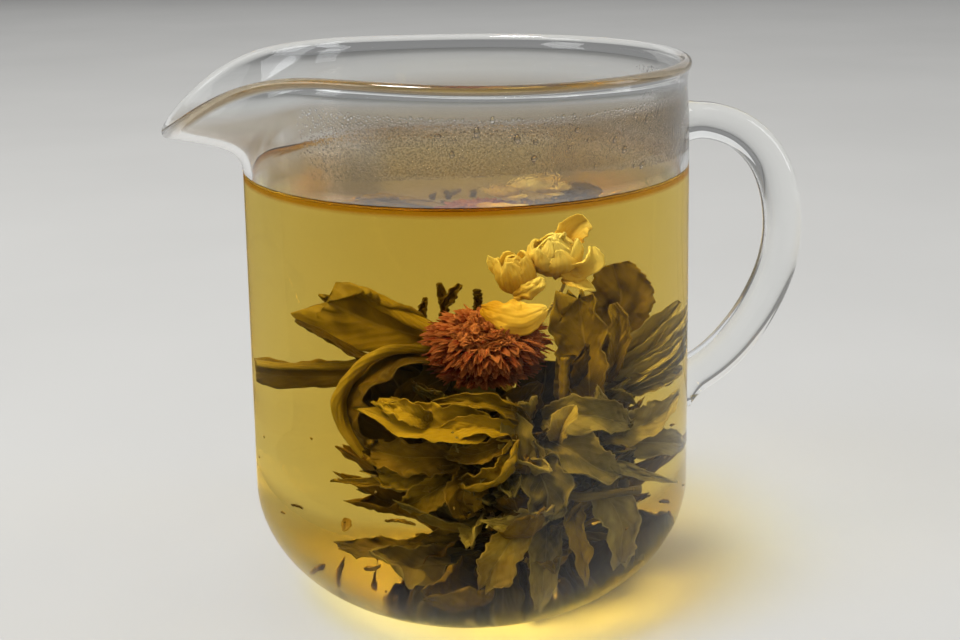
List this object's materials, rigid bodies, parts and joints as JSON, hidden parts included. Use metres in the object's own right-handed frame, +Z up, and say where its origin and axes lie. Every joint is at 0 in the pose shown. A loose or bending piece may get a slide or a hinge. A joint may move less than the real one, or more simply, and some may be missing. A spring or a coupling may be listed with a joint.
{
  "type": "glass teapot",
  "caption": "Straight-sided clear glass tea jug with a pulled spout and a solid glass side handle, holding amber tea and a sewn flowering-tea bloom that lifts out.",
  "frame": {"origin": "middle of the flat foot, on the surface the jug stands on", "axes": "+Z up, the spout points along -X and the handle along +X; the glass mirrors across Y = 0"},
  "size_m": [0.1524, 0.1064, 0.131],
  "materials": {
    "clear_glass": "clear, fire polished",
    "tea_liquid": "clear amber liquid",
    "dark_leaf": "wet, satin",
    "pale_leaf": "wet, satin",
    "amaranth_red": "matte petals",
    "jasmine_cream": "matte petals",
    "cotton_thread": "twisted thread"
  },
  "bodies": {
    "jug": {"glass_body": "clear_glass", "handle": "clear_glass", "tea": "tea_liquid"},
    "bloom": {"amaranth_head": "amaranth_red", "binding_thread": "cotton_thread", "blossom_thread": "cotton_thread", "broad_leaf": "pale_leaf", "crown_leaf_1": "dark_leaf", "crown_leaf_2": "dark_leaf", "crown_leaf_3": "dark_leaf", "crown_leaf_4": "dark_leaf", "crown_leaf_5": "dark_leaf", "crown_leaf_6": "dark_leaf", "curled_leaf": "pale_leaf", "folded_leaf": "pale_leaf", "inner_leaf_1": "dark_leaf", "inner_leaf_2": "dark_leaf", "inner_leaf_3": "dark_leaf", "inner_leaf_4": "dark_leaf", "inner_leaf_5": "dark_leaf", "inner_leaf_6": "dark_leaf", "inner_leaf_7": "dark_leaf", "inner_leaf_8": "dark_leaf", "jasmine_large": "jasmine_cream", "jasmine_petal": "jasmine_cream", "jasmine_small": "jasmine_cream", "leaf_core": "dark_leaf", "middle_leaf_1": "dark_leaf", "middle_leaf_2": "dark_leaf", "middle_leaf_3": "dark_leaf", "middle_leaf_4": "dark_leaf", "middle_leaf_5": "dark_leaf", "middle_leaf_6": "dark_leaf", "middle_leaf_7": "dark_leaf", "middle_leaf_8": "dark_leaf", "middle_leaf_9": "dark_leaf", "outer_leaf_1": "dark_leaf", "outer_leaf_2": "dark_leaf", "outer_leaf_3": "dark_leaf", "outer_leaf_4": "dark_leaf", "outer_leaf_5": "dark_leaf", "outer_leaf_6": "dark_leaf", "outer_leaf_7": "dark_leaf", "outer_leaf_8": "dark_leaf", "outer_leaf_9": "dark_leaf", "serrated_leaf": "pale_leaf", "sprig": "pale_leaf", "strap_leaf": "pale_leaf"}
  },
  "joints": [
    {"name": "bloom_lift", "type": "slide", "parent": "jug", "child": "bloom", "axis": [0, 0, 1], "range_m": [0, 0.14]}
  ]
}
